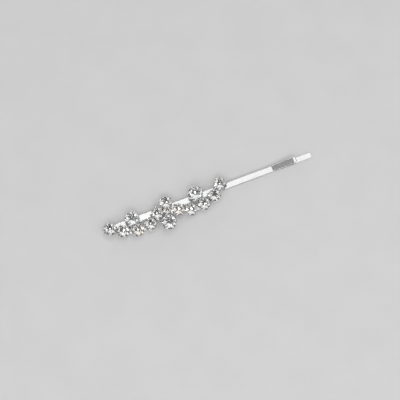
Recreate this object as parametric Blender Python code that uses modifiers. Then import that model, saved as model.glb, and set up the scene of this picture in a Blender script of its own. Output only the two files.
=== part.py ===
"""Rhinestone hair clip: a flat sprung pin that carries a vine of round stones in metal cups.

Frame: +X runs along the pin from its spring bend to its tips, +Y across it and +Z up.
The origin is on the underside of the lower leg, halfway along the pin. Lengths along the pin
are counted from the outside of the bend, at START.
"""
import math

import bmesh
import bpy
from mathutils import Matrix, Vector

MM = 0.001
WELD = 1e-7

# Pin: one flat strip, folded at the spring bend into two legs.
PIN_LENGTH = 60.0 * MM
START = Vector((-PIN_LENGTH / 2, 0.0, 0.0))
STRIP_WIDTH = 1.7 * MM
STRIP_THICKNESS = 0.4 * MM
STRIP_EDGE = 0.12 * MM
LEG_GAP = 0.3 * MM
OPENING_ANGLE = math.radians(14.0)
BEND_RADIUS = (LEG_GAP + STRIP_THICKNESS) / 2
BEND_OUTSIDE = BEND_RADIUS + STRIP_THICKNESS / 2
LOWER_LEVEL = STRIP_THICKNESS / 2
UPPER_LEVEL = LOWER_LEVEL + 2 * BEND_RADIUS
UPPER_TOP = UPPER_LEVEL + STRIP_THICKNESS / 2
HINGE = Vector((BEND_OUTSIDE, 0.0, BEND_OUTSIDE))
PINCH_START_X = 44.0 * MM
PINCH_X = 48.3 * MM
PINCH_DROP = 0.10 * MM
PINCH_CREASE = 0.5 * MM
FLARE_END_X = 54.6 * MM
FLARE_RISE = 1.10 * MM
LIP_END_X = 55.4 * MM
TIP_CORNER = 0.35 * MM
BEND_STEPS = 10
PINCH_STEPS = 6
# Lip at the end of the upper leg: share of its length, lift in millimetres, share of the width.
LIP_STATIONS = ((0.25, 0.03, 1.0), (0.5, 0.05, 1.0), (0.75, 0.03, 0.93), (1.0, -0.03, 0.76))

# Vine: pieces stand a hair apart, so that each stays a solid of its own.
SEAT_GAP = 0.02 * MM
PLATE_THICKNESS = 0.3 * MM
PLATE_BOTTOM = UPPER_TOP + SEAT_GAP
PLATE_TOP = PLATE_BOTTOM + PLATE_THICKNESS
PAD_RADIUS = 1.2 * MM
PAD_STEPS = 16
BAR_WIDTH = 1.0 * MM
SHEET_LOW = Vector((-5.0, -9.0)) * MM
SHEET_HIGH = Vector((45.0, 9.0)) * MM
BLANK_REACH = 1.0 * MM
BLANK_STEP = 0.01 * MM
CUP_BASE = PLATE_TOP + SEAT_GAP
SOLDER_RADII = Vector((0.55, 0.30, 0.20)) * MM

# Stones: girdle radius, and the level of the girdle over the foot of the cup.
CLAW_STONE = 1.62 * MM
CLAW_GIRDLE = 1.50 * MM
SMALL_STONE = 0.98 * MM
SMALL_GIRDLE = 2.13 * MM
BEZEL_STONE = 1.93 * MM
BEZEL_GIRDLE = 2.14 * MM
GIRDLE_HALF = 0.03 * MM
MAIN_FACETS = 8
TABLE_SHARE = 0.56
CROWN_SLOPE = math.radians(33.0)
STAR_SLOPE = math.radians(21.0)
UPPER_HALF_SLOPE = math.radians(39.0)
PAVILION_SLOPE = math.radians(39.0)
LOWER_HALF_SLOPE = math.radians(41.5)

# Cups: the claws are what a plus-shaped notch leaves of the rim.
CUP_STEPS = 20
BEZEL_STEPS = 28
NOTCH_REACH = 3.0 * MM
NOTCH_TOP = 5.0 * MM
CLAW_NOTCH = 2.02 * MM
CLAW_NOTCH_FLOOR = 1.15 * MM
SMALL_NOTCH = 1.04 * MM
SMALL_NOTCH_FLOOR = 1.89 * MM

# Vine order from the bend: name, setting, X and Y in millimetres, turn of the claws in degrees.
SETTINGS = (
    ("01", "claw", 2.05, -0.30, 38),
    ("02", "claw", 5.05, -2.05, 51),
    ("03", "bezel", 8.42, 0.05, 0),
    ("04", "claw", 8.82, -3.20, 7),
    ("05", "claw", 12.60, -2.85, 32),
    ("06", "claw", 15.20, -0.80, 38),
    ("07", "claw", 18.40, 1.15, 73),
    ("08", "small", 18.00, -1.10, 30),
    ("09", "bezel", 17.40, -4.30, 0),
    ("10", "claw", 20.95, -1.80, 68),
    ("11", "claw", 24.05, -3.05, 68),
    ("12", "bezel", 26.65, 0.50, 0),
    ("13", "claw", 27.95, -2.90, 23),
    ("14", "claw", 31.20, -1.60, 15),
    ("15", "claw", 33.75, 0.80, 32),
)
BARS = (
    ("01", "02"), ("02", "03"), ("02", "04"), ("04", "05"), ("05", "06"), ("06", "08"), ("08", "07"),
    ("06", "09"), ("08", "10"), ("10", "11"), ("11", "13"), ("13", "12"), ("13", "14"), ("14", "15"),
)
# Solder beads: name, X in millimetres, side of the strip.
SOLDER_SPOTS = (
    ("solder_bend_end", 2.0, -1), ("solder_middle", 18.1, 1), ("solder_vine_end", 32.2, -1),
)

# Looks: colour, metallic, roughness.
SILVER = ((0.90, 0.90, 0.91, 1.0), 1.0, 0.16)
SOLDER = ((0.74, 0.74, 0.75, 1.0), 1.0, 0.38)
CRYSTAL = ((0.96, 0.97, 1.0, 1.0), 0.0, 0.02)


def new_collection(name):
    """Add a collection to the scene."""
    group = bpy.data.collections.new(name)
    bpy.context.scene.collection.children.link(group)
    return group


def add_piece(group, name, mesh, look, smooth=False):
    """Put a mesh in the scene as a piece with a material of its own."""
    colour, metallic, roughness = look
    mesh.name = name
    material = bpy.data.materials.new(name)
    material.use_nodes = True
    shader = material.node_tree.nodes["Principled BSDF"]
    shader.inputs["Base Color"].default_value = colour
    shader.inputs["Metallic"].default_value = metallic
    shader.inputs["Roughness"].default_value = roughness
    mesh.materials.clear()
    mesh.materials.append(material)
    for face in mesh.polygons:
        face.use_smooth = smooth
    piece = bpy.data.objects.new(name, mesh)
    group.objects.link(piece)
    return piece


def mesh_from(bm, name):
    """Turn a bmesh into a mesh whose faces all point out."""
    bmesh.ops.recalc_face_normals(bm, faces=bm.faces)
    mesh = bpy.data.meshes.new(name)
    bm.to_mesh(mesh)
    bm.free()
    return mesh


def evaluated_mesh(piece):
    """Copy a piece's mesh with its modifiers worked in."""
    graph = bpy.context.evaluated_depsgraph_get()
    return bpy.data.meshes.new_from_object(piece.evaluated_get(graph))


# The pin


def strip_section(width, thickness):
    """Outline of the strip: a rectangle with its four corners taken off, as (across, up)."""
    half, rise = width / 2, thickness / 2
    soft = STRIP_EDGE * (1 - math.sqrt(0.5))
    quarter = [(half, rise - STRIP_EDGE), (half - soft, rise - soft), (half - STRIP_EDGE, rise)]
    outline = list(quarter)
    outline += [(-y, z) for y, z in reversed(quarter)]
    outline += [(-y, -z) for y, z in quarter]
    outline += [(y, -z) for y, z in reversed(quarter)]
    return outline


def loft_strip(name, path):
    """Loft the strip's section along a path of (x, z, width share) stations."""
    bm = bmesh.new()
    rings = []
    for index, (x, z, share) in enumerate(path):
        before = path[max(index - 1, 0)]
        after = path[min(index + 1, len(path) - 1)]
        along = Vector((after[0] - before[0], 0.0, after[1] - before[1])).normalized()
        up = Vector((-along.z, 0.0, along.x))
        ring = []
        for across, rise in strip_section(STRIP_WIDTH * share, STRIP_THICKNESS):
            ring.append(bm.verts.new(Vector((x, across, z)) + up * rise))
        rings.append(ring)
    for first, second in zip(rings, rings[1:]):
        for here in range(len(first)):
            there = (here + 1) % len(first)
            bm.faces.new((first[here], first[there], second[there], second[here]))
    bm.faces.new(rings[0])
    bm.faces.new(rings[-1])
    return mesh_from(bm, name)


def lower_leg_path():
    """From the bend along the bottom to a square tip with rounded corners."""
    path = [(HINGE.x + SEAT_GAP, LOWER_LEVEL, 1.0)]
    for step in range(4):
        turn = math.radians(30 * step)
        inset = TIP_CORNER * (1 - math.cos(turn))
        x = PIN_LENGTH - TIP_CORNER + TIP_CORNER * math.sin(turn)
        path.append((x, LOWER_LEVEL, 1 - 2 * inset / STRIP_WIDTH))
    return path


def spring_bend_path():
    """Half a turn round the hinge axis, short of the top by the angle that the legs open to."""
    last_turn = math.pi - OPENING_ANGLE
    path = []
    for step in range(BEND_STEPS + 1):
        turn = last_turn * step / BEND_STEPS
        x = HINGE.x - BEND_RADIUS * math.sin(turn)
        z = HINGE.z - BEND_RADIUS * math.cos(turn)
        path.append((x, z, 1.0))
    return path


def upper_leg_path():
    """From the bend along the top, down to the pinch line, up the flare and over its lip."""
    path = [(HINGE.x, UPPER_LEVEL, 1.0), (PINCH_START_X, UPPER_LEVEL, 1.0)]
    for step in range(1, PINCH_STEPS + 1):
        share = step / PINCH_STEPS
        x = PINCH_START_X + (PINCH_X - PINCH_START_X) * share
        drop = PINCH_DROP * (1 - math.cos(math.pi * share)) / 2
        path.append((x, UPPER_LEVEL - drop, 1.0))
    crease = PINCH_CREASE / (FLARE_END_X - PINCH_X)
    for share in (crease / 2, crease, 1.0):
        x = PINCH_X + (FLARE_END_X - PINCH_X) * share
        climb = share * share / (2 * crease) if share < crease else share - crease / 2
        path.append((x, UPPER_LEVEL - PINCH_DROP + FLARE_RISE * climb, 1.0))
    top = path[-1][1]
    reach = LIP_END_X - FLARE_END_X
    for share, lift, width in LIP_STATIONS:
        path.append((FLARE_END_X + reach * share, top + lift * MM, width))
    return path


# Stones


def facet(bm, slope, azimuth, reach, level, below=False):
    """Grind one flat facet through the point at that reach and level, tilted by slope."""
    side = -1.0 if below else 1.0
    outward = Vector((math.cos(azimuth), math.sin(azimuth), 0.0))
    normal = outward * math.sin(slope) + Vector((0.0, 0.0, side * math.cos(slope)))
    point = outward * reach + Vector((0.0, 0.0, level))
    parts = list(bm.verts) + list(bm.edges) + list(bm.faces)
    bmesh.ops.bisect_plane(bm, geom=parts, dist=WELD, plane_co=point, plane_no=normal, clear_outer=True)
    rim = [edge for edge in bm.edges if edge.is_boundary]
    bmesh.ops.holes_fill(bm, edges=rim, sides=0)


def stone_mesh(radius):
    """A round brilliant: table, stars, kites and halves over a thin girdle and a pointed pavilion."""
    halves = 2 * MAIN_FACETS
    main_turn, half_turn = 2 * math.pi / MAIN_FACETS, 2 * math.pi / halves
    bm = bmesh.new()
    bmesh.ops.create_cone(
        bm, cap_ends=True, segments=halves, radius1=radius, radius2=radius, depth=4 * radius
    )
    mid_edge = radius * math.cos(half_turn / 2)
    table_reach = radius * TABLE_SHARE
    table_level = GIRDLE_HALF + (radius - table_reach) * math.tan(CROWN_SLOPE)
    facet(bm, 0.0, 0.0, 0.0, table_level)
    for number in range(MAIN_FACETS):
        azimuth = number * main_turn
        facet(bm, CROWN_SLOPE, azimuth, radius, GIRDLE_HALF)
        facet(bm, PAVILION_SLOPE, azimuth, radius, -GIRDLE_HALF, below=True)
    for number in range(MAIN_FACETS):
        azimuth = (number + 0.5) * main_turn
        facet(bm, STAR_SLOPE, azimuth, table_reach * math.cos(main_turn / 2), table_level)
    for number in range(halves):
        azimuth = (number + 0.5) * half_turn
        facet(bm, UPPER_HALF_SLOPE, azimuth, mid_edge, GIRDLE_HALF)
        facet(bm, LOWER_HALF_SLOPE, azimuth, mid_edge, -GIRDLE_HALF, below=True)
    bmesh.ops.remove_doubles(bm, verts=bm.verts, dist=10 * WELD)
    return mesh_from(bm, "stone")


# Cups


def turned_mesh(group, profile, steps):
    """Spin a profile about Z. It starts and ends on the axis: up the inside, down the outside."""
    bm = bmesh.new()
    verts = [bm.verts.new((reach * MM, 0.0, level * MM)) for reach, level in profile]
    for first, second in zip(verts, verts[1:]):
        bm.edges.new((first, second))
    line = bpy.data.meshes.new("profile")
    bm.to_mesh(line)
    bm.free()
    blank = bpy.data.objects.new("profile", line)
    group.objects.link(blank)
    spin = blank.modifiers.new("spin", "SCREW")
    spin.steps = steps
    spin.render_steps = steps
    spin.use_merge_vertices = True
    spin.merge_threshold = WELD
    mesh = evaluated_mesh(blank)
    bpy.data.objects.remove(blank)
    return mesh


def notch_mesh(width, reach, low, high):
    """A plus-shaped block that opens the four gaps between the claws."""
    half = width / 2
    outline = []
    for quarter in range(4):
        turn = Matrix.Rotation(quarter * math.pi / 2, 2)
        for corner in ((reach, -half), (reach, half), (half, half)):
            outline.append(turn @ Vector(corner))
    bm = bmesh.new()
    floor = bm.faces.new([bm.verts.new((point.x, point.y, low)) for point in outline])
    lifted = bmesh.ops.extrude_face_region(bm, geom=[floor])["geom"]
    raised = [item for item in lifted if isinstance(item, bmesh.types.BMVert)]
    bmesh.ops.translate(bm, vec=(0.0, 0.0, high - low), verts=raised)
    return mesh_from(bm, "notch")


def claw_cup_mesh(group, cutters, profile, notch_width, notch_floor):
    """A turned cup whose rim is cut away to leave four claws folded over the stone."""
    blank = bpy.data.objects.new("cup", turned_mesh(group, profile, CUP_STEPS))
    group.objects.link(blank)
    block = bpy.data.objects.new("notch", notch_mesh(notch_width, NOTCH_REACH, notch_floor, NOTCH_TOP))
    cutters.objects.link(block)
    block.hide_render = True
    block.display_type = "WIRE"
    cut = blank.modifiers.new("claw gaps", "BOOLEAN")
    cut.operation = "DIFFERENCE"
    cut.solver = "EXACT"
    cut.object = block
    bpy.context.view_layer.update()
    mesh = evaluated_mesh(blank)
    bpy.data.objects.remove(blank)
    return mesh


# Reach and level in millimetres, from the middle of the inside to the middle of the foot.
CLAW_PROFILE = (
    (0.00, 0.12), (0.45, 0.12), (1.50, 1.20), (1.66, 1.42), (1.66, 1.60), (1.46, 1.70),
    (1.42, 1.78), (1.52, 1.84), (1.70, 1.78), (1.79, 1.62), (1.79, 1.40), (1.60, 1.15),
    (1.42, 0.30), (1.30, 0.00), (0.00, 0.00),
)
SMALL_PROFILE = (
    (0.00, 1.20), (0.20, 1.20), (1.01, 2.05), (1.03, 2.19), (0.88, 2.28), (0.86, 2.36),
    (0.95, 2.40), (1.06, 2.35), (1.12, 2.24), (1.12, 2.07), (0.68, 1.61), (0.56, 1.35),
    (0.52, 0.00), (0.00, 0.00),
)
BEZEL_PROFILE = (
    (0.00, 0.40), (0.40, 0.40), (1.965, 2.02), (1.97, 2.17), (1.92, 2.235), (1.925, 2.26),
    (1.965, 2.28), (2.015, 2.25), (2.03, 1.98), (1.60, 1.46), (1.02, 0.90), (0.88, 0.00),
    (0.00, 0.00),
)


# Backing plate


def add_prism(bm, corners, low, high):
    """Add a straight-sided block with the given outline."""
    floor = bm.faces.new([bm.verts.new((x, y, low)) for x, y in corners])
    lifted = bmesh.ops.extrude_face_region(bm, geom=[floor])["geom"]
    raised = [item for item in lifted if isinstance(item, bmesh.types.BMVert)]
    bmesh.ops.translate(bm, vec=(0.0, 0.0, high - low), verts=raised)


def pad_corners(centre):
    """Outline of the round pad under a cup."""
    corners = []
    for step in range(PAD_STEPS):
        turn = (step + 0.5) * 2 * math.pi / PAD_STEPS
        corners.append((centre.x + PAD_RADIUS * math.cos(turn), centre.y + PAD_RADIUS * math.sin(turn)))
    return corners


def bar_corners(start, end):
    """Outline of the straight bar between two pads."""
    along = (end - start).normalized()
    across = Vector((-along.y, along.x)) * BAR_WIDTH / 2
    return [start - across, end - across, end + across, start + across]


def plate_mesh(group, centres):
    """Trim the overlapping pads and bars to one flat sheet.

    Each block is a little taller than the one before, so that no two lids share a plane.
    """
    outlines = [pad_corners(centre) for centre in centres.values()]
    outlines += [bar_corners(centres[first], centres[second]) for first, second in BARS]
    blocks = bmesh.new()
    for index, outline in enumerate(outlines):
        reach = BLANK_REACH + BLANK_STEP * index
        add_prism(blocks, outline, -reach, reach)
    blanks = bpy.data.objects.new("blanks", mesh_from(blocks, "blanks"))
    group.objects.link(blanks)
    sheet = bmesh.new()
    (left, front), (right, back) = SHEET_LOW, SHEET_HIGH
    add_prism(sheet, [(left, front), (right, front), (right, back), (left, back)], 0.0, PLATE_THICKNESS)
    body = bpy.data.objects.new("sheet", mesh_from(sheet, "sheet"))
    group.objects.link(body)
    trim = body.modifiers.new("stamp", "BOOLEAN")
    trim.operation = "INTERSECT"
    trim.solver = "EXACT"
    trim.use_self = True
    trim.object = blanks
    bpy.context.view_layer.update()
    mesh = evaluated_mesh(body)
    bpy.data.objects.remove(body)
    bpy.data.objects.remove(blanks)
    return mesh


def solder_mesh():
    """A small flattened bead of solder."""
    bm = bmesh.new()
    bmesh.ops.create_icosphere(bm, subdivisions=2, radius=1.0)
    bmesh.ops.scale(bm, vec=SOLDER_RADII, verts=bm.verts)
    return mesh_from(bm, "solder")


def hang_from(parent, piece, position, turn=0.0):
    """Place a piece on the moving leg, whose origin is on the hinge axis."""
    piece.parent = parent
    piece.location = Vector(position) - HINGE
    piece.rotation_euler = (0.0, 0.0, turn)


def build():
    """Make every piece and hang the vine from the upper leg."""
    for item in list(bpy.data.objects):
        bpy.data.objects.remove(item)
    clip = new_collection("rhinestone_hair_clip")
    cutters = new_collection("cutters")

    for name, path in (("lower_leg", lower_leg_path()), ("spring_bend", spring_bend_path())):
        still = add_piece(clip, name, loft_strip(name, path), SILVER)
        still.location = START
    strip = loft_strip("upper_leg", upper_leg_path())
    strip.transform(Matrix.Translation(-HINGE))
    upper_leg = add_piece(clip, "upper_leg", strip, SILVER)
    upper_leg.location = START + HINGE

    centres = {}
    for number, _, x, y, _ in SETTINGS:
        centres[number] = Vector((x, y)) * MM
    plate = add_piece(clip, "backing_plate", plate_mesh(clip, centres), SILVER)
    hang_from(upper_leg, plate, (0.0, 0.0, PLATE_BOTTOM))

    for name, x, side in SOLDER_SPOTS:
        spot = add_piece(clip, name, solder_mesh(), SOLDER, smooth=True)
        beside = side * (STRIP_WIDTH / 2 + SOLDER_RADII.y + SEAT_GAP)
        hang_from(upper_leg, spot, (x * MM, beside, PLATE_BOTTOM - SOLDER_RADII.z - SEAT_GAP))

    cups = {
        "claw": claw_cup_mesh(clip, cutters, CLAW_PROFILE, CLAW_NOTCH, CLAW_NOTCH_FLOOR),
        "small": claw_cup_mesh(clip, cutters, SMALL_PROFILE, SMALL_NOTCH, SMALL_NOTCH_FLOOR),
        "bezel": turned_mesh(clip, BEZEL_PROFILE, BEZEL_STEPS),
    }
    stones = {
        "claw": (stone_mesh(CLAW_STONE), CLAW_GIRDLE),
        "small": (stone_mesh(SMALL_STONE), SMALL_GIRDLE),
        "bezel": (stone_mesh(BEZEL_STONE), BEZEL_GIRDLE),
    }
    cup_names = {"claw": "claw_cup_", "small": "small_claw_cup_", "bezel": "bezel_cup_"}
    for number, setting, x, y, turn in SETTINGS:
        angle = math.radians(turn)
        cup = add_piece(clip, cup_names[setting] + number, cups[setting].copy(), SILVER)
        hang_from(upper_leg, cup, (x * MM, y * MM, CUP_BASE), angle)
        shape, girdle = stones[setting]
        stone = add_piece(clip, "stone_" + number, shape.copy(), CRYSTAL)
        hang_from(upper_leg, stone, (x * MM, y * MM, CUP_BASE + girdle), angle)


build()
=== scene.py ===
"""Looks of the rhinestone hair clip: a silver-plated sprung pin with a vine of foiled glass stones.

Everything is in the frame of the CAD part, in metres: +X along the pin, +Z up.
"""

import math

import bmesh
import bpy
from mathutils import Matrix, Vector, noise


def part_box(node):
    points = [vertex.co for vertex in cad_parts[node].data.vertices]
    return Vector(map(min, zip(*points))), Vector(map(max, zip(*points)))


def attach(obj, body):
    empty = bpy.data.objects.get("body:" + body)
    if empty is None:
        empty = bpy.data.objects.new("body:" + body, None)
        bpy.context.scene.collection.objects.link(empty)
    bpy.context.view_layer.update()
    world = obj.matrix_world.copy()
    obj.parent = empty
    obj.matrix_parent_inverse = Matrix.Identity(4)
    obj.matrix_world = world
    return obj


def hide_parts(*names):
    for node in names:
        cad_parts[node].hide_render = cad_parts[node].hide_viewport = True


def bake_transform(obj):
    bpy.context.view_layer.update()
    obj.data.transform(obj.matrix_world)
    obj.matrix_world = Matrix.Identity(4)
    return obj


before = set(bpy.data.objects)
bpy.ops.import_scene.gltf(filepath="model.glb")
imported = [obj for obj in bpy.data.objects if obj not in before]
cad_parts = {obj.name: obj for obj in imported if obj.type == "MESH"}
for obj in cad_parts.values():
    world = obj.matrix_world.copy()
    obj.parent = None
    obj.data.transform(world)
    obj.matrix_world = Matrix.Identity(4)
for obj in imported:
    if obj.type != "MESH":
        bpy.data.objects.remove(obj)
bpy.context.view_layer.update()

MM = 0.001
FULL_TURN = 2 * math.pi

# Pin. Places along it are counted from the outside of the bend, at BEND_LOW.
LOWER_LOW, LOWER_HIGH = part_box("lower_leg")
UPPER_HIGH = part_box("upper_leg")[1]
BEND_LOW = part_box("spring_bend")[0]
STRIP_WIDTH = LOWER_HIGH.y - LOWER_LOW.y
STRIP_THICKNESS = LOWER_HIGH.z - LOWER_LOW.z
STRIP_EDGE = 0.13 * MM
FLAT_INSET = 0.05 * MM
CORNER_STEPS = 5
BEND_OUTSIDE = 0.55 * MM
BEND_RADIUS = BEND_OUTSIDE - STRIP_THICKNESS / 2
BEND_CENTRE_X = BEND_LOW.x + BEND_OUTSIDE
BEND_STEPS = 24
STRAIGHT_STEPS = 12
LOWER_LEVEL = BEND_OUTSIDE - BEND_RADIUS
UPPER_LEVEL = BEND_OUTSIDE + BEND_RADIUS
PINCH_START = 44.0 * MM
PINCH = 48.3 * MM
PINCH_DROP = 0.10 * MM
PINCH_LEVEL = UPPER_LEVEL - PINCH_DROP
CREASE_STEPS = 5
CREASE = 0.5 * MM
FLARE_END = 54.6 * MM
FLARE_RISE = 1.10 * MM
FLARE_SHARES = (0.3, 0.5, 0.7, 0.85, 0.95, 1.0)
LIP_LENGTH = UPPER_HIGH.x - BEND_LOW.x - FLARE_END
LIP_RISE = 0.05 * MM
LIP_STEPS = 8
LIP_CORNER_SHARE = 0.45
LIP_NARROWING = 0.8
TIP_CORNER = 0.20 * MM
TIP_TURN = math.radians(72.0)
TIP_STEPS = 6
END_BULGE = 0.05 * MM
END_WIDTH_SHARE = 0.94
END_HEIGHT_SHARE = 0.7

# How far each stone and its cup are turned, in degrees. They are numbered from the bend end of the vine.
TURNS = {
    "01": 38, "02": 51, "03": 21, "04": 7, "05": 32, "06": 38, "07": 73, "08": 30, "09": 63,
    "10": 68, "11": 68, "12": 84, "13": 23, "14": 15, "15": 32,
}
BEZELS = ("03", "09", "12")
SMALL = "08"

# Brilliant cut: facet slopes, and reaches and the blank's depth as shares of the girdle's radius. A face is
# foiled where the Z of its normal is under FOILED_BELOW.
MAIN_FACETS = 8
GIRDLE_SIDES = 32
TABLE_SHARE = 0.55
HALF_FACET_SHARE = 0.99
GIRDLE_HALF = 0.03 * MM
CROWN_SLOPE = math.radians(33.0)
STAR_SLOPE = math.radians(21.0)
UPPER_HALF_SLOPE = math.radians(39.0)
PAVILION_SLOPE = math.radians(39.0)
LOWER_HALF_SLOPE = math.radians(41.5)
BLANK_DEPTH = 4.0
FOILED_BELOW = -0.1
CUT_TOLERANCE = 1e-7
MERGE = 1e-6

# Cups, in millimetres from the middle of the foot. A profile runs as (reach, level) from the middle
# of the inside, over the rim and down the outside. A claw runs from the wall to its folded tip, with half
# of its width and half of its thickness given at each point of its path.
CUP_STEPS = 48
CLAWS = 4
CUP_PROFILE = (
    (0.00, 0.12), (0.45, 0.12), (0.50, 0.14), (1.40, 1.06), (1.44, 1.12), (1.49, 1.15), (1.54, 1.15),
    (1.59, 1.12), (1.60, 1.06), (1.58, 0.96), (1.42, 0.30), (1.38, 0.14), (1.33, 0.04), (1.26, 0.00),
    (0.00, 0.00),
)
CLAW_PATH = (
    (1.38, 0.34), (1.50, 0.70), (1.66, 1.05), (1.80, 1.32), (1.83, 1.55), (1.74, 1.73), (1.58, 1.80),
    (1.45, 1.775),
)
CLAW_HALF_WIDTHS = (0.20, 0.34, 0.37, 0.36, 0.34, 0.32, 0.26, 0.10)
CLAW_HALF_THICKNESSES = (0.05, 0.08, 0.09, 0.10, 0.11, 0.11, 0.09, 0.04)
CLAW_SIDES = 14
CLAW_SMOOTHING = 4
SMALL_CUP_PROFILE = (
    (0.00, 1.20), (0.20, 1.20), (0.24, 1.22), (0.80, 1.83), (0.84, 1.88), (0.88, 1.89), (0.93, 1.87),
    (0.92, 1.83), (0.68, 1.61), (0.58, 1.45), (0.55, 1.30), (0.54, 0.05), (0.50, 0.00), (0.00, 0.00),
)
SMALL_CLAW_PATH = (
    (0.80, 1.66), (0.91, 1.81), (1.03, 1.95), (1.075, 2.08), (1.075, 2.21), (1.01, 2.31), (0.93, 2.335),
    (0.87, 2.32),
)
SMALL_CLAW_HALF_WIDTHS = (0.14, 0.20, 0.20, 0.18, 0.17, 0.17, 0.14, 0.06)
SMALL_CLAW_HALF_THICKNESSES = (0.04, 0.055, 0.055, 0.055, 0.06, 0.065, 0.06, 0.035)
BEZEL_STEPS = 72
BEZEL_PROFILE = (
    (0.00, 0.40), (0.40, 0.40), (0.44, 0.43), (1.94, 1.98), (1.965, 2.04), (1.97, 2.16), (1.955, 2.20),
    (1.93, 2.225), (1.92, 2.245), (1.93, 2.265), (1.955, 2.28), (1.985, 2.275), (2.01, 2.25),
    (2.025, 2.20), (2.03, 2.12), (2.03, 1.98), (1.98, 1.88), (1.60, 1.44), (1.28, 1.14), (1.06, 0.88),
    (0.95, 0.50), (0.90, 0.20), (0.88, 0.04), (0.84, 0.00), (0.00, 0.00),
)

# Solder: (depth, how many per bead radius) of its broad swells and its small lumps. SOLDER_SPREAD sets the
# beads far enough apart in the noise that no two are alike.
SOLDER_NODES = ("solder_bend_end", "solder_middle", "solder_vine_end")
SOLDER_SWELLS = (0.22, 1.6)
SOLDER_LUMPS = (0.08, 4.2)
SOLDER_SPREAD = 900.0
SOLDER_LARGEST = 1.03
SOLDER_FINENESS = 4

# Camera: looks down on the clip from the stones' side, and takes in VIEW_WIDTH at the clip. The middle of
# the view is AIM_RIGHT and AIM_UP from the origin.
VIEW_AZIMUTH = math.radians(-21.0)
VIEW_ELEVATION = math.radians(78.0)
VIEW_WIDTH = 107.9 * MM
AIM_RIGHT = -2.1 * MM
AIM_UP = -1.7 * MM
LENS = 110.0
SENSOR = 36.0
NEAREST = 0.01
FARTHEST = 10.0

# Softboxes: azimuth and height as seen from the clip, in degrees, then distance, width and length in metres,
# and brightness. The overhead one lies flat.
SOFTBOXES = {
    "left_panel": (150.0, 68.0, 0.70, 0.26, 0.50, 0.17),
    "near_left": (216.0, 54.0, 0.70, 0.08, 0.18, 4.0),
    "near_front": (258.0, 60.0, 0.70, 0.20, 0.12, 4.4),
    "near_side": (183.0, 52.0, 0.70, 0.07, 0.26, 4.0),
    "sparkle_left": (235.0, 42.0, 0.70, 0.08, 0.12, 7.0),
    "sparkle_front": (300.0, 46.0, 0.70, 0.16, 0.06, 3.0),
    "sparkle_back": (95.0, 30.0, 0.70, 0.20, 0.08, 6.0),
}
OVERHEAD_PLACE = (0.09, 0.17, 0.70)
OVERHEAD_SIZE = (0.27, 0.60)
OVERHEAD_BRIGHTNESS = 0.86
FILL = (300.0, 70.0, 0.60, 0.80, 0.80, 1.0)
# The sky: a height, from 0 at the horizon to 1 overhead, and the colour there.
HORIZON = (0.10, (0.55, 0.55, 0.56, 1.0))
ZENITH = (0.62, (0.125, 0.125, 0.13, 1.0))
FLOOR_HALF = 1.5
FLOOR_LEVEL = -0.01 * MM


# Materials


class Nodes:
    """Short way to add and link shader nodes in one material."""

    def __init__(self, name):
        """A new material with a Principled shader."""
        self.material = bpy.data.materials.new(name)
        self.material.use_nodes = True
        self.tree = self.material.node_tree
        self.shader = self.tree.nodes["Principled BSDF"]

    def link(self, source, target):
        """Join an output to an input."""
        self.tree.links.new(source, target)

    def place(self, per_metre):
        """Object coordinates scaled along each axis."""
        spot = self.tree.nodes.new("ShaderNodeTexCoord")
        mapping = self.tree.nodes.new("ShaderNodeMapping")
        mapping.inputs["Scale"].default_value = per_metre
        self.link(spot.outputs["Object"], mapping.inputs["Vector"])
        return mapping.outputs["Vector"]

    def noise(self, per_metre, detail, roughness=0.55):
        """Grey noise with that many grains to the metre along each axis."""
        node = self.tree.nodes.new("ShaderNodeTexNoise")
        node.inputs["Scale"].default_value = 1.0
        node.inputs["Detail"].default_value = detail
        node.inputs["Roughness"].default_value = roughness
        self.link(self.place(per_metre), node.inputs["Vector"])
        return node.outputs["Fac"]

    def spread(self, value, low, high, start=0.3, end=0.7):
        """Map a grey value from start to end onto low to high."""
        node = self.tree.nodes.new("ShaderNodeMapRange")
        node.inputs["From Min"].default_value = start
        node.inputs["From Max"].default_value = end
        node.inputs["To Min"].default_value = low
        node.inputs["To Max"].default_value = high
        self.link(value, node.inputs["Value"])
        return node.outputs["Result"]

    def ramp(self, value, low_stop, high_stop):
        """Map a grey value between two colours, each given as (position, colour)."""
        node = self.tree.nodes.new("ShaderNodeValToRGB")
        for element, (position, colour) in zip(node.color_ramp.elements, (low_stop, high_stop)):
            element.position = position
            element.color = (*colour, 1.0)
        self.link(value, node.inputs["Fac"])
        return node.outputs["Color"]

    def bump(self, height, depth, strength):
        """Tilt the surface by a height map."""
        node = self.tree.nodes.new("ShaderNodeBump")
        node.inputs["Strength"].default_value = strength
        node.inputs["Distance"].default_value = depth
        self.link(height, node.inputs["Height"])
        self.link(node.outputs["Normal"], self.shader.inputs["Normal"])


def strip_silver():
    """Bright plate over rolled spring steel: fine lengthwise draw marks and faint cloudy wear."""
    look = Nodes("pin_silver")
    look.shader.inputs["Metallic"].default_value = 1.0
    draw = look.noise(per_metre=(900.0, 26000.0, 26000.0), detail=3.0)
    cloud = look.noise(per_metre=(400.0, 900.0, 900.0), detail=3.0)
    tint = look.ramp(cloud, (0.30, (0.90, 0.90, 0.90)), (0.70, (0.965, 0.965, 0.97)))
    look.link(tint, look.shader.inputs["Base Color"])
    look.link(look.spread(draw, low=0.08, high=0.17), look.shader.inputs["Roughness"])
    look.bump(draw, depth=0.002 * MM, strength=0.25)
    return look.material


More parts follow.
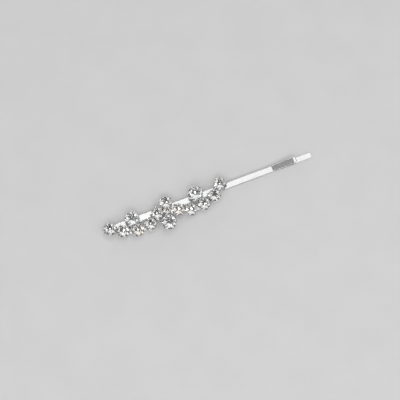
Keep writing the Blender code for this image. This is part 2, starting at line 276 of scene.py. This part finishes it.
def plated(name, dull_tint, bright_tint, bright_roughness, dull_roughness):
    """Plated metal, with soft unevenness and a grey film here and there."""
    look = Nodes(name)
    look.shader.inputs["Metallic"].default_value = 1.0
    film = look.noise(per_metre=(1500.0, 1500.0, 1500.0), detail=4.0)
    tint = look.ramp(film, (0.32, dull_tint), (0.66, bright_tint))
    look.link(tint, look.shader.inputs["Base Color"])
    sheen = look.spread(film, low=dull_roughness, high=bright_roughness)
    look.link(sheen, look.shader.inputs["Roughness"])
    dents = look.noise(per_metre=(2600.0, 2600.0, 2600.0), detail=2.0)
    look.bump(dents, depth=0.012 * MM, strength=0.35)
    return look.material


def crystal():
    """Clear machine-cut glass, very slightly smudged."""
    look = Nodes("crystal_glass")
    look.shader.inputs["IOR"].default_value = 1.56
    look.shader.inputs["Transmission Weight"].default_value = 1.0
    smudge = look.noise(per_metre=(1100.0, 1100.0, 1100.0), detail=4.0)
    tint = look.ramp(smudge, (0.30, (0.985, 0.99, 1.0)), (0.72, (1.0, 0.995, 0.985)))
    look.link(tint, look.shader.inputs["Base Color"])
    haze = look.spread(smudge, low=0.0, high=0.01, start=0.45, end=0.75)
    look.link(haze, look.shader.inputs["Roughness"])
    return look.material


def foil(name, plain, lacquered):
    """Mirror foil on the back facets, with patches where its protective lacquer shows through."""
    look = Nodes(name)
    look.shader.inputs["Metallic"].default_value = 1.0
    patches = look.noise(per_metre=(900.0, 900.0, 900.0), detail=2.0)
    tint = look.ramp(patches, (0.40, plain), (0.60, lacquered))
    look.link(tint, look.shader.inputs["Base Color"])
    grain = look.noise(per_metre=(5200.0, 5200.0, 5200.0), detail=2.0)
    look.link(look.spread(grain, low=0.0, high=0.03), look.shader.inputs["Roughness"])
    return look.material


PIN_SILVER = strip_silver()
CUP_SILVER = plated(
    "cup_silver", dull_tint=(0.80, 0.80, 0.80), bright_tint=(0.94, 0.94, 0.945),
    bright_roughness=0.10, dull_roughness=0.24
)
SOLDER = plated(
    "solder", dull_tint=(0.56, 0.56, 0.56), bright_tint=(0.76, 0.76, 0.77),
    bright_roughness=0.30, dull_roughness=0.48
)
GLASS = crystal()
COOL_FOIL = foil("crystal_foil_cool", (0.945, 0.948, 0.95), (0.925, 0.928, 0.93))
PLAIN_FOIL = foil("crystal_foil", (0.95, 0.948, 0.944), (0.93, 0.918, 0.902))
WARM_FOIL = foil("crystal_foil_warm", (0.945, 0.935, 0.92), (0.915, 0.88, 0.83))
FOILS = {
    "03": COOL_FOIL, "09": COOL_FOIL, "12": COOL_FOIL,
    "04": WARM_FOIL, "08": WARM_FOIL, "10": WARM_FOIL,
}


# Mesh helpers


def piece_from(bm, name, materials, smooth=True):
    """Make a named piece with the given materials in its slots."""
    bmesh.ops.recalc_face_normals(bm, faces=bm.faces)
    mesh = bpy.data.meshes.new(name)
    bm.to_mesh(mesh)
    bm.free()
    for face in mesh.polygons:
        face.use_smooth = smooth
    for material in materials:
        mesh.materials.append(material)
    piece = bpy.data.objects.new(name, mesh)
    bpy.context.scene.collection.objects.link(piece)
    return piece


def band(bm, first, second):
    """Join two rings with the same number of points."""
    for here in range(len(first)):
        there = (here + 1) % len(first)
        bm.faces.new((first[here], first[there], second[there], second[here]))


def fan(bm, point, ring):
    """Close a ring to one point."""
    for here in range(len(ring)):
        there = (here + 1) % len(ring)
        bm.faces.new((point, ring[there], ring[here]))


def skin(bm, rings):
    """Skin a row of rings and close both ends."""
    for first, second in zip(rings, rings[1:]):
        band(bm, first, second)
    bm.faces.new(rings[0])
    bm.faces.new(rings[-1])


def turned(bm, profile, steps, foot):
    """Spin a profile, which starts and ends on its axis, about the vertical line through foot."""
    top = bm.verts.new(foot + Vector((0.0, 0.0, profile[0][1])))
    bottom = bm.verts.new(foot + Vector((0.0, 0.0, profile[-1][1])))
    rings = []
    for reach, level in profile[1:-1]:
        ring = []
        for step in range(steps):
            turn = FULL_TURN * step / steps
            spot = Vector((reach * math.cos(turn), reach * math.sin(turn), level))
            ring.append(bm.verts.new(foot + spot))
        rings.append(ring)
    fan(bm, top, rings[0])
    for first, second in zip(rings, rings[1:]):
        band(bm, first, second)
    fan(bm, bottom, rings[-1])


def smooth_line(points, steps):
    """Catmull-Rom curve through points, with steps between each pair."""
    ends = [Vector(point) for point in (points[0], *points, points[-1])]
    line = []
    for before, start, end, after in zip(ends, ends[1:], ends[2:], ends[3:]):
        for step in range(steps):
            share = step / steps
            rise = (end - before) * share
            sag = (2 * before - 5 * start + 4 * end - after) * share ** 2
            swing = (3 * start - before - 3 * end + after) * share ** 3
            line.append((2 * start + rise + sag + swing) / 2)
    line.append(ends[-1])
    return line


def directions(line):
    """Direction of a row of points at each of them, from its neighbours."""
    ways = []
    for index in range(len(line)):
        before, after = line[max(index - 1, 0)], line[min(index + 1, len(line) - 1)]
        ways.append((after - before).normalized())
    return ways


def scaled(points):
    """Take (reach, level) points from millimetres to metres."""
    return [Vector(point) * MM for point in points]


# The pin: one continuous strip. A station on its path is (x, z, share of the full width).


def strip_section(width):
    """Rectangle with rounded edges, as (across, up) points. Two more points hold each broad face flat."""
    half, rise = width / 2 - STRIP_EDGE, STRIP_THICKNESS / 2 - STRIP_EDGE
    outline = []
    for corner, (side, top) in enumerate(((1, 1), (-1, 1), (-1, -1), (1, -1))):
        for step in range(CORNER_STEPS + 1):
            turn = (corner + step / CORNER_STEPS) * math.pi / 2
            across = side * half + STRIP_EDGE * math.cos(turn)
            outline.append((across, top * rise + STRIP_EDGE * math.sin(turn)))
        if side == top:
            for end in (side, -side):
                outline.append((end * (half - FLAT_INSET), top * STRIP_THICKNESS / 2))
    return outline


def lower_tip():
    """The rounded corners of the lower leg's end."""
    stations = []
    for step in range(TIP_STEPS, -1, -1):
        turn = TIP_TURN * step / TIP_STEPS
        inset = TIP_CORNER * (1 - math.cos(turn))
        x = LOWER_HIGH.x - TIP_CORNER * (1 - math.sin(turn))
        stations.append((x, LOWER_LEVEL, 1 - 2 * inset / STRIP_WIDTH))
    return stations


def straight(start_x, end_x, level):
    """A level stretch."""
    stations = []
    for step in range(1, STRAIGHT_STEPS + 1):
        stations.append((start_x + (end_x - start_x) * step / STRAIGHT_STEPS, level, 1.0))
    return stations


def spring_bend():
    """Half a turn from the lower leg up to the upper leg."""
    stations = []
    for step in range(1, BEND_STEPS + 1):
        turn = math.pi * step / BEND_STEPS
        x = BEND_CENTRE_X - BEND_RADIUS * math.sin(turn)
        stations.append((x, BEND_OUTSIDE - BEND_RADIUS * math.cos(turn), 1.0))
    return stations


def pinch():
    """The upper leg's soft dip to the line where it pinches the lower leg."""
    stations = []
    for step in range(1, STRAIGHT_STEPS + 1):
        share = step / STRAIGHT_STEPS
        x = BEND_LOW.x + PINCH_START + (PINCH - PINCH_START) * share
        stations.append((x, UPPER_LEVEL - PINCH_DROP * (1 - math.cos(math.pi * share)) / 2, 1.0))
    return stations


def flare():
    """The straight slope that leads hair in, after a short crease."""
    length = FLARE_END - PINCH
    crease = CREASE / length
    shares = [crease * step / CREASE_STEPS for step in range(1, CREASE_STEPS + 1)]
    stations = []
    for share in (*shares, *FLARE_SHARES):
        climb = share * share / (2 * crease) if share < crease else share - crease / 2
        stations.append((BEND_LOW.x + PINCH + length * share, PINCH_LEVEL + FLARE_RISE * climb, 1.0))
    return stations


def lip(start_level):
    """The short end of the upper leg, which is level from its middle on and has rounded corners."""
    stations = []
    for step in range(1, LIP_STEPS + 1):
        share = step / LIP_STEPS
        width = 1 - LIP_NARROWING * max(0.0, share - LIP_CORNER_SHARE) ** 2
        rise = LIP_RISE * math.sin(math.pi / 2 * min(1.0, 2 * share))
        stations.append((BEND_LOW.x + FLARE_END + LIP_LENGTH * share, start_level + rise, width))
    return stations


def strip_path():
    """Stations from the lower tip, round the bend, to the lip of the upper leg."""
    path = lower_tip()
    path += straight(path[-1][0], BEND_CENTRE_X, LOWER_LEVEL)
    path += spring_bend()
    path += straight(BEND_CENTRE_X, BEND_LOW.x + PINCH_START, UPPER_LEVEL)
    path += pinch()
    path += flare()
    path += lip(path[-1][1])
    return path


def strip_ring(bm, station, along, width_share=1.0, height_share=1.0, shift=0.0):
    """The strip's section at a station, square to the direction along."""
    x, z, share = station
    up = Vector((-along.z, 0.0, along.x))
    ring = []
    for across, rise in strip_section(STRIP_WIDTH * share):
        spot = Vector((x, across * width_share, z)) + up * rise * height_share + along * shift
        ring.append(bm.verts.new(spot))
    return ring


def pin_strip():
    """The whole pin as one lofted strip, with slightly bulged ends."""
    bm = bmesh.new()
    path = strip_path()
    ways = directions([Vector((x, 0.0, z)) for x, z, _ in path])
    ends = (END_WIDTH_SHARE, END_HEIGHT_SHARE)
    rings = [strip_ring(bm, path[0], ways[0], *ends, shift=-END_BULGE)]
    for station, along in zip(path, ways):
        rings.append(strip_ring(bm, station, along))
    rings.append(strip_ring(bm, path[-1], ways[-1], *ends, shift=END_BULGE))
    skin(bm, rings)
    strip = piece_from(bm, "pin_strip", [PIN_SILVER])
    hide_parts("lower_leg", "spring_bend", "upper_leg")
    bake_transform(strip)


# Stones


def facet(bm, slope, azimuth, reach, level, below=False):
    """Grind one flat facet through the point at that reach and level, tilted by slope."""
    side = -1.0 if below else 1.0
    outward = Vector((math.cos(azimuth), math.sin(azimuth), 0.0))
    normal = outward * math.sin(slope) + Vector((0.0, 0.0, side * math.cos(slope)))
    point = outward * reach + Vector((0.0, 0.0, level))
    parts = list(bm.verts) + list(bm.edges) + list(bm.faces)
    bmesh.ops.bisect_plane(
        bm, geom=parts, dist=CUT_TOLERANCE, plane_co=point, plane_no=normal, clear_outer=True
    )
    rim = [edge for edge in bm.edges if edge.is_boundary]
    bmesh.ops.holes_fill(bm, edges=rim, sides=0)


def brilliant(radius):
    """Full round brilliant cut, with its foiled pavilion as material 1."""
    main_turn = FULL_TURN / MAIN_FACETS
    half_turn = main_turn / 2
    table_reach = radius * TABLE_SHARE
    table_level = GIRDLE_HALF + (radius - table_reach) * math.tan(CROWN_SLOPE)
    bm = bmesh.new()
    bmesh.ops.create_cone(
        bm, cap_ends=True, segments=GIRDLE_SIDES, radius1=radius, radius2=radius, depth=BLANK_DEPTH * radius
    )
    bmesh.ops.rotate(bm, verts=bm.verts, matrix=Matrix.Rotation(math.pi / GIRDLE_SIDES, 3, "Z"))
    facet(bm, 0.0, 0.0, 0.0, table_level)
    for number in range(MAIN_FACETS):
        azimuth = number * main_turn
        facet(bm, CROWN_SLOPE, azimuth, radius, GIRDLE_HALF)
        facet(bm, PAVILION_SLOPE, azimuth, radius, -GIRDLE_HALF, below=True)
        facet(bm, STAR_SLOPE, azimuth + half_turn, table_reach * math.cos(half_turn), table_level)
    for number in range(2 * MAIN_FACETS):
        azimuth = (number + 0.5) * half_turn
        facet(bm, UPPER_HALF_SLOPE, azimuth, radius * HALF_FACET_SHARE, GIRDLE_HALF)
        facet(bm, LOWER_HALF_SLOPE, azimuth, radius * HALF_FACET_SHARE, -GIRDLE_HALF, below=True)
    bmesh.ops.remove_doubles(bm, verts=bm.verts, dist=MERGE)
    bmesh.ops.recalc_face_normals(bm, faces=bm.faces)
    for face in bm.faces:
        face.material_index = 1 if face.normal.z < FOILED_BELOW else 0
    return bm


def stone(number):
    """One stone, as wide as the CAD stone and with the point of its pavilion in the same place."""
    low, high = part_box("stone_" + number)
    middle = (low + high) / 2
    radius = (high.x - low.x) / 2
    girdle = low.z + radius * math.tan(PAVILION_SLOPE) + GIRDLE_HALF
    bm = brilliant(radius)
    turn = Matrix.Rotation(math.radians(TURNS[number]), 4, "Z")
    place = Matrix.Translation((middle.x, middle.y, girdle))
    bmesh.ops.transform(bm, matrix=place @ turn, verts=bm.verts)
    materials = [GLASS, FOILS.get(number, PLAIN_FOIL)]
    piece = piece_from(bm, "crystal_" + number, materials, smooth=False)
    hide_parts("stone_" + number)
    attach(piece, "upper")


# Cups


def cup_foot(node):
    """Middle of the foot of a cup."""
    low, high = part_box(node)
    return Vector(((low.x + high.x) / 2, (low.y + high.y) / 2, low.z))


def claw(bm, foot, heading, path, half_widths, half_thicknesses):
    """One claw: a flat finger that rises up the wall and folds over the stone with a rounded tip."""
    outward = Vector((math.cos(heading), math.sin(heading), 0.0))
    aside = Vector((-outward.y, outward.x, 0.0))
    upward = Vector((0.0, 0.0, 1.0))
    line = smooth_line(scaled(path), CLAW_SMOOTHING)
    sizes = smooth_line(scaled(zip(half_widths, half_thicknesses)), CLAW_SMOOTHING)
    rings = []
    for spot, along, (half_width, half_thickness) in zip(line, directions(line), sizes):
        middle = foot + outward * spot.x + upward * spot.y
        square = outward * along.y - upward * along.x
        ring = []
        for step in range(CLAW_SIDES):
            turn = FULL_TURN * step / CLAW_SIDES
            across = aside * half_width * math.cos(turn)
            ring.append(bm.verts.new(middle + across + square * half_thickness * math.sin(turn)))
        rings.append(ring)
    skin(bm, rings)


def finish_cup(bm, name, node):
    """Put a cup on the upper leg in the place of its CAD node."""
    cup = piece_from(bm, name, [CUP_SILVER])
    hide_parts(node)
    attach(cup, "upper")


def claw_cup(number, node, profile, path, half_widths, half_thicknesses):
    """A turned cup with its claws."""
    foot = cup_foot(node)
    bm = bmesh.new()
    turned(bm, scaled(profile), CUP_STEPS, foot)
    for step in range(CLAWS):
        heading = math.radians(TURNS[number]) + FULL_TURN * (step + 0.5) / CLAWS
        claw(bm, foot, heading, path, half_widths, half_thicknesses)
    finish_cup(bm, "cup_" + number, node)


def bezel_cup(number):
    """A raised cup with a plain rim."""
    node = "bezel_cup_" + number
    bm = bmesh.new()
    turned(bm, scaled(BEZEL_PROFILE), BEZEL_STEPS, cup_foot(node))
    finish_cup(bm, "bezel_" + number, node)


def cup(number):
    """The cup that holds a stone."""
    if number in BEZELS:
        bezel_cup(number)
    elif number == SMALL:
        sizes = (SMALL_CLAW_HALF_WIDTHS, SMALL_CLAW_HALF_THICKNESSES)
        claw_cup(number, "small_claw_cup_" + number, SMALL_CUP_PROFILE, SMALL_CLAW_PATH, *sizes)
    else:
        sizes = (CLAW_HALF_WIDTHS, CLAW_HALF_THICKNESSES)
        claw_cup(number, "claw_cup_" + number, CUP_PROFILE, CLAW_PATH, *sizes)


# Solder and plate


def solder(node):
    """A bead that has run and frozen a little unevenly."""
    low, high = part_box(node)
    middle, half = (low + high) / 2, (high - low) / 2
    seed = Vector((middle.x, middle.y, 0.0)) * SOLDER_SPREAD
    bm = bmesh.new()
    bmesh.ops.create_icosphere(bm, subdivisions=SOLDER_FINENESS, radius=1.0)
    for vert in bm.verts:
        size = 1.0
        for depth, pace in (SOLDER_SWELLS, SOLDER_LUMPS):
            size += depth * noise.noise(vert.co * pace + seed)
        vert.co = middle + vert.co * half * min(size, SOLDER_LARGEST)
    bead = piece_from(bm, node + "_bead", [SOLDER])
    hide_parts(node)
    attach(bead, "upper")


def plate():
    """The CAD backing plate, in the silver of the cups."""
    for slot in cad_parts["backing_plate"].material_slots:
        slot.material = CUP_SILVER


# Stage, light and camera


def pale_floor():
    """A wide matt floor just under the pin."""
    look = Nodes("pale_floor")
    grain = look.noise(per_metre=(90.0, 90.0, 90.0), detail=6.0)
    tint = look.ramp(grain, (0.3, (0.77, 0.77, 0.765)), (0.7, (0.80, 0.80, 0.795)))
    look.link(tint, look.shader.inputs["Base Color"])
    look.shader.inputs["Roughness"].default_value = 0.8
    look.shader.inputs["Specular IOR Level"].default_value = 0.2
    bm = bmesh.new()
    bmesh.ops.create_grid(bm, x_segments=1, y_segments=1, size=FLOOR_HALF)
    mesh = bpy.data.meshes.new("floor")
    bm.to_mesh(mesh)
    bm.free()
    mesh.materials.append(look.material)
    floor = bpy.data.objects.new("floor", mesh)
    floor.location = (0.0, 0.0, FLOOR_LEVEL)
    bpy.context.scene.collection.objects.link(floor)


def area_light(name, width, length, brightness):
    """A rectangular light that faces straight down until it is turned."""
    lamp = bpy.data.lights.new(name, "AREA")
    lamp.shape = "RECTANGLE"
    lamp.size, lamp.size_y = width, length
    lamp.energy = brightness * math.pi * width * length
    light = bpy.data.objects.new(name, lamp)
    bpy.context.scene.collection.objects.link(light)
    return light


def softbox(name, azimuth, height, distance, width, length, brightness):
    """A light that faces the clip, seen from it at that azimuth and height in degrees."""
    around, above = math.radians(azimuth), math.radians(height)
    level = math.cos(above)
    toward = Vector((math.cos(around) * level, math.sin(around) * level, math.sin(above)))
    light = area_light(name, width, length, brightness)
    light.location = toward * distance
    light.rotation_mode = "QUATERNION"
    light.rotation_quaternion = toward.to_track_quat("Z", "Y")
    return light


def sky():
    """Bright round the horizon and dim overhead."""
    world = bpy.data.worlds.new("studio")
    world.use_nodes = True
    tree = world.node_tree
    spot = tree.nodes.new("ShaderNodeTexCoord")
    split = tree.nodes.new("ShaderNodeSeparateXYZ")
    shade = tree.nodes.new("ShaderNodeValToRGB")
    for element, (position, colour) in zip(shade.color_ramp.elements, (HORIZON, ZENITH)):
        element.position = position
        element.color = colour
    tree.links.new(spot.outputs["Generated"], split.inputs["Vector"])
    tree.links.new(split.outputs["Z"], shade.inputs["Fac"])
    tree.links.new(shade.outputs["Color"], tree.nodes["Background"].inputs["Color"])
    bpy.context.scene.world = world


def studio():
    """Soft light from above, small boxes that sparkle in the stones, and a fill for the floor."""
    sky()
    overhead = area_light("overhead", *OVERHEAD_SIZE, OVERHEAD_BRIGHTNESS)
    overhead.location = OVERHEAD_PLACE
    for name, settings in SOFTBOXES.items():
        softbox(name, *settings)
    fill = softbox("fill", *FILL)
    fill.visible_glossy = False
    fill.visible_transmission = False
    bpy.context.scene.view_settings.view_transform = "Standard"


def camera():
    """A long lens that looks at the clip from the view's azimuth and elevation."""
    lens = bpy.data.cameras.new("camera")
    lens.sensor_width, lens.lens = SENSOR, LENS
    lens.clip_start, lens.clip_end = NEAREST, FARTHEST
    right = Vector((math.cos(VIEW_AZIMUTH), math.sin(VIEW_AZIMUTH), 0.0))
    forward = Vector((-math.sin(VIEW_AZIMUTH), math.cos(VIEW_AZIMUTH), 0.0))
    up = forward * math.sin(VIEW_ELEVATION) + Vector((0.0, 0.0, math.cos(VIEW_ELEVATION)))
    back = right.cross(up)
    viewpoint = bpy.data.objects.new("camera", lens)
    viewpoint.location = right * AIM_RIGHT + up * AIM_UP + back * VIEW_WIDTH * LENS / SENSOR
    viewpoint.rotation_mode = "QUATERNION"
    viewpoint.rotation_quaternion = back.to_track_quat("Z", "Y")
    bpy.context.scene.collection.objects.link(viewpoint)
    bpy.context.scene.camera = viewpoint


pin_strip()
for number in TURNS:
    stone(number)
    cup(number)
for node in SOLDER_NODES:
    solder(node)
plate()
pale_floor()
studio()
camera()
